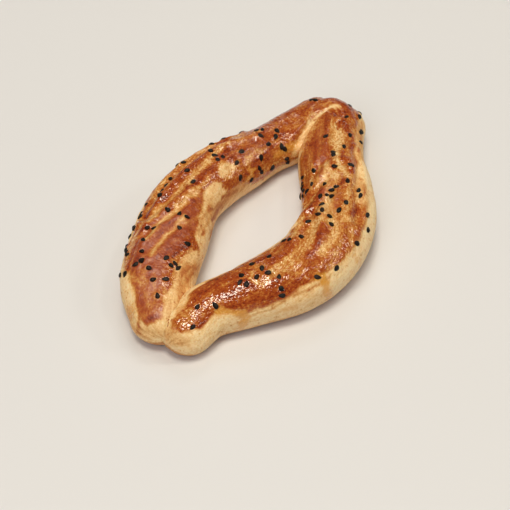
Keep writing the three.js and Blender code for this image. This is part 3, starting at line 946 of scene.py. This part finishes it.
ramp = node(tree, "ShaderNodeValToRGB")
stops = ramp.color_ramp.elements
while len(stops) < len(BROWNING_COLOURS):
    stops.new(0.5)
for stop, (position, colour) in zip(stops, BROWNING_COLOURS):
    stop.position = position
    stop.color = linear(colour)
tree.links.new(tone, ramp.inputs["Fac"])

# A mix node takes its two colours in sockets 6 and 7 and gives the mixed one in socket 2.
eggy = node(tree, "ShaderNodeMix", data_type="RGBA")
tree.links.new(maths(tree, "MULTIPLY", egg, EGG_SHARE), eggy.inputs["Factor"])
tree.links.new(ramp.outputs["Color"], eggy.inputs[6])
eggy.inputs[7].default_value = linear(EGG_COLOUR)
tree.links.new(eggy.outputs[2], shader.inputs["Base Color"])

gloss = maths(tree, "MULTIPLY_ADD", glaze, GLAZE_ROUGHNESS - DOUGH_ROUGHNESS, DOUGH_ROUGHNESS)
gloss = maths(tree, "MULTIPLY_ADD", fine, ROUGHNESS_MOTTLE, gloss)
tree.links.new(gloss, shader.inputs["Roughness"])
shader.inputs["Subsurface Weight"].default_value = DOUGH_LIGHT
shader.inputs["Subsurface Radius"].default_value = DOUGH_LIGHT_REACH
shader.inputs["Subsurface Scale"].default_value = DOUGH_DEPTH
shader.inputs["Specular IOR Level"].default_value = CRUST_GLOSS

# The dried egg is crinkled, which breaks its shine into glints.
crinkle = noise(tree, place, CRINKLE_SIZE, 0.5, 0.5, 1.3)
wrinkle = noise(tree, fibre_place, WRINKLE_SIZE, 1.0, 0.5)
bubbles = node(tree, "ShaderNodeTexVoronoi", feature="DISTANCE_TO_EDGE")
bubbles.inputs["Scale"].default_value = 1 / (BUBBLE_SIZE * MM)
tree.links.new(place, bubbles.inputs["Vector"])
plateau = maths(tree, "MINIMUM", maths(tree, "MULTIPLY", bubbles.outputs["Distance"], BUBBLE_EDGE), 1.0)
height = maths(tree, "MULTIPLY_ADD", wrinkle, WRINKLES, crinkle)
height = maths(tree, "MULTIPLY_ADD", maths(tree, "MULTIPLY", plateau, glaze), BUBBLES, height)
bump = node(tree, "ShaderNodeBump")
bump.inputs["Distance"].default_value = CRINKLE_DEPTH
bump.inputs["Strength"].default_value = 1.0
tree.links.new(height, bump.inputs["Height"])
tree.links.new(bump.outputs["Normal"], shader.inputs["Normal"])
crust_mesh.materials.clear()
crust_mesh.materials.append(crust_look)

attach(crust, "root")
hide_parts("horseshoe_pastry")

# ---- Nigella seeds ----
# Small black seeds, angular drops about 3 mm long, strewn on the egg before baking. Each has
# sunk nearly half into the crust, in the places that the crust section gives.
SEED_LENGTH = 3.2
SEED_WIDTH = 2.2
SEED_HEIGHT = 1.6
SEED_SINK = 0.44  # how deep it sits, as a share of its height
SEED_SIDES = 9
# The outline is (place along the seed, share of the half width), from the blunt end to the tip.
SEED_OUTLINE = [
    (-0.47, 0.42), (-0.36, 0.76), (-0.18, 0.95), (0.04, 0.9), (0.24, 0.66), (0.4, 0.34), (0.48, 0.14),
]
SEED_ENDS = (-0.5, 0.5)
SEED_BLUNT = 0.1
SEED_UNEVEN = 0.05
SEED_LEAN = 0.12
SEED_FIRST_SHAPE = 11
SEED_DARK = (12, 8, 6)
SEED_BROWNISH = (40, 24, 17)
SEED_DARK_TO = 0.45
SEED_DUST_SIZE = 0.5
SEED_ROUGHNESS = 0.4
SEED_DUST_ROUGHNESS = 0.3
SEED_GLOSS = 0.3
SEED_GRAIN_SIZE = 0.4
SEED_GRAIN_DEPTH = 0.00012


def place_on(leg, baked, along, degrees):
    """A place on the smooth skin, X along the leg and Z out of the dough, and the relief there."""
    step = 0.5

    def point(s, d):
        section = [np.interp(s, baked["distances"], column) for column in baked["sections"].T]
        return Vector(skin(np.array([section]), leg["outside"], np.array([d]))[0, 0])

    middle = point(along, degrees)
    forward = point(along + step, degrees) - middle
    round_ = point(along, degrees + step) - middle
    outwards = (round_.cross(forward) * leg["outside"]).normalized()
    sideways = outwards.cross(forward).normalized()
    forward = sideways.cross(outwards)
    turned = Matrix((forward, sideways, outwards)).transposed().to_4x4()
    ring = min(int(np.searchsorted(baked["distances"], along)), len(baked["distances"]) - 1)
    full_turn = degrees % 360 if degrees < -TOP_DEGREES else degrees
    column = int(np.argmin(np.abs(baked["degrees"] - full_turn)))
    return Matrix.Translation(middle) @ turned, baked["relief"][ring, column]


def seed_shape(chance):
    """One seed along X: a drop with three to five blunt edges, each a little different."""
    edges = chance.integers(3, 6)
    length = SEED_LENGTH * chance.uniform(0.86, 1.06)
    widen = chance.uniform(0.86, 1.08)
    lean = chance.uniform(-SEED_LEAN, SEED_LEAN)
    phase = chance.uniform(0, 2 * math.pi)
    points = []
    for place, radius in SEED_OUTLINE:
        sway = lean * SEED_LENGTH * (0.25 - place * place)
        for k in range(SEED_SIDES):
            angle = 2 * math.pi * k / SEED_SIDES
            blunt = 1 + SEED_BLUNT * math.cos(edges * angle + phase)
            reach = radius * (blunt + chance.uniform(-SEED_UNEVEN, SEED_UNEVEN)) * widen
            y = reach * math.cos(angle) * SEED_WIDTH / 2 + sway
            points.append((place * length, y, reach * math.sin(angle) * SEED_HEIGHT / 2))
    blunt_end, tip = len(points), len(points) + 1
    points += [(end * length, 0, 0) for end in SEED_ENDS]
    faces = []
    for k in range(SEED_SIDES):
        after = (k + 1) % SEED_SIDES
        last_ring = (len(SEED_OUTLINE) - 1) * SEED_SIDES
        faces.append((blunt_end, after, k))
        faces.append((tip, last_ring + k, last_ring + after))
        for ring in range(len(SEED_OUTLINE) - 1):
            a, b = ring * SEED_SIDES + k, ring * SEED_SIDES + after
            faces.append((a, b, b + SEED_SIDES, a + SEED_SIDES))
    return points, faces


chance = np.random.default_rng(SEED_FIRST_SHAPE)
seed_points, seed_faces, seed_tints = [], [], []
for leg, baked in legs:
    for along, degrees, yaw, tip in seed_places(leg):
        place, relief = place_on(leg, baked, along, degrees)
        lifted = place @ Matrix.Translation((0, 0, relief + (0.5 - SEED_SINK) * SEED_HEIGHT))
        turned = lifted @ Matrix.Rotation(yaw, 4, "Z") @ Matrix.Rotation(tip, 4, "Y")
        points, faces = seed_shape(chance)
        first = len(seed_points)
        seed_points += [(turned @ Vector(point) - MIDDLE) * MM for point in points]
        seed_faces += [tuple(first + index for index in face) for face in faces]
        seed_tints += [chance.uniform(0, 1)] * len(points)
seeds_mesh = bpy.data.meshes.new("nigella_seeds")
seeds_mesh.from_pydata(seed_points, [], seed_faces)
attribute = seeds_mesh.attributes.new("tint", "FLOAT", "POINT")
attribute.data.foreach_set("value", np.array(seed_tints, np.float32))
seeds = bpy.data.objects.new("nigella_seeds", seeds_mesh)
scene.collection.objects.link(seeds)

seed_look = bpy.data.materials.new("nigella_seed")
seed_look.use_nodes = True
tree = seed_look.node_tree
shader = tree.nodes["Principled BSDF"]
place = node(tree, "ShaderNodeTexCoord").outputs["Object"]
dust = noise(tree, place, SEED_DUST_SIZE, 2.0, 0.5)
tint = maths(tree, "MULTIPLY", attribute_of(tree, "tint"), 0.5)
ramp = node(tree, "ShaderNodeValToRGB")
dark, brownish = ramp.color_ramp.elements
dark.color = linear(SEED_DARK)
dark.position = SEED_DARK_TO
brownish.color = linear(SEED_BROWNISH)
tree.links.new(maths(tree, "MULTIPLY_ADD", dust, 0.5, tint), ramp.inputs["Fac"])
tree.links.new(ramp.outputs["Color"], shader.inputs["Base Color"])
dusty = maths(tree, "MULTIPLY_ADD", dust, SEED_DUST_ROUGHNESS, SEED_ROUGHNESS)
tree.links.new(dusty, shader.inputs["Roughness"])
shader.inputs["Specular IOR Level"].default_value = SEED_GLOSS
bump = node(tree, "ShaderNodeBump")
bump.inputs["Strength"].default_value = 1.0
bump.inputs["Distance"].default_value = SEED_GRAIN_DEPTH
tree.links.new(noise(tree, place, SEED_GRAIN_SIZE, 2.0, 0.6), bump.inputs["Height"])
tree.links.new(bump.outputs["Normal"], shader.inputs["Normal"])
seeds_mesh.materials.append(seed_look)

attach(seeds, "root")
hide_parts("horseshoe_pastry")
